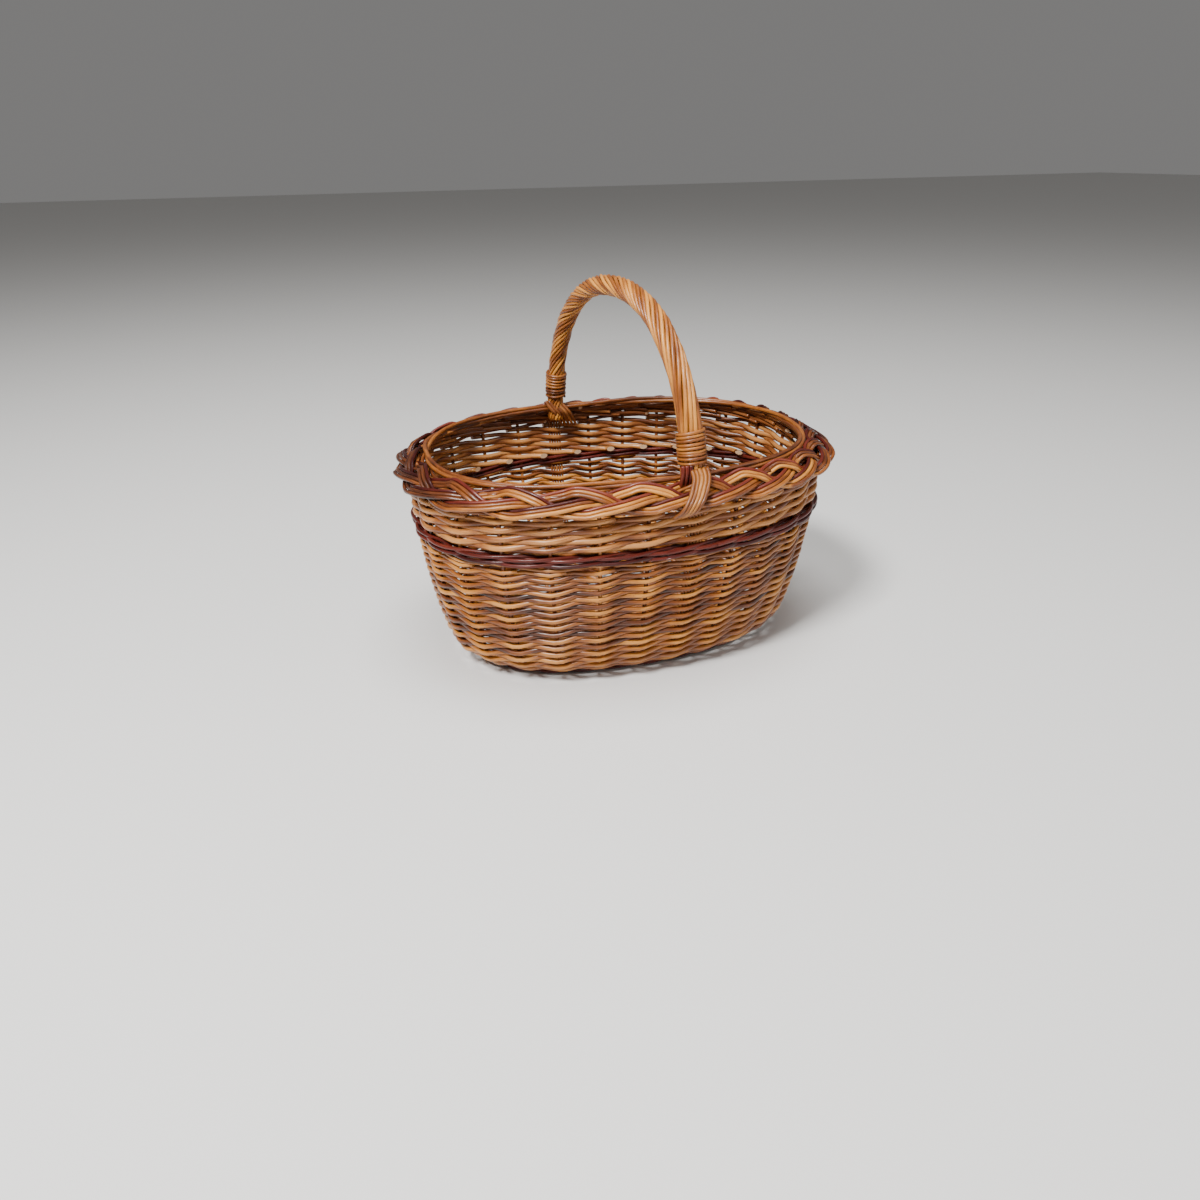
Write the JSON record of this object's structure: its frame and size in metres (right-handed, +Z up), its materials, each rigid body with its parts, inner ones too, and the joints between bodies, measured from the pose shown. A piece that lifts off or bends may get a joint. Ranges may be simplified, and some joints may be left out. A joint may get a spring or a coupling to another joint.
{
  "type": "oval wicker basket",
  "caption": "Oval woven willow basket with a dark wale, a plaited border and a fixed roped cross handle, for carrying shopping.",
  "frame": {"origin": "middle of the basket's underside, where the foot stands", "axes": "+Z up, +X along the basket's length, +Y across its width"},
  "size_m": [0.4497, 0.3431, 0.3764],
  "materials": {
    "golden_willow": "satin varnish",
    "pale_willow": "satin varnish",
    "shaded_willow": "satin varnish",
    "dark_willow": "satin varnish"
  },
  "bodies": {
    "root": {"base_long_sticks": "shaded_willow", "base_cross_sticks": "shaded_willow", "base_weave": "pale_willow", "foot_wale": "dark_willow", "side_stakes": "shaded_willow", "lower_siding": "golden_willow", "light_weaver": "pale_willow", "middle_wale": "dark_willow", "upper_siding": "shaded_willow", "top_wale": "shaded_willow", "border_strand_a": "golden_willow", "border_strand_b": "golden_willow", "border_strand_c": "golden_willow", "border_inner_rod": "golden_willow", "handle_core_rods": "shaded_willow", "handle_rods_a": "golden_willow", "handle_rods_b": "golden_willow", "handle_rods_c": "golden_willow", "handle_rods_d": "golden_willow", "near_collar": "golden_willow", "far_collar": "golden_willow", "near_fan": "pale_willow", "far_fan": "shaded_willow"}
  },
  "joints": []
}
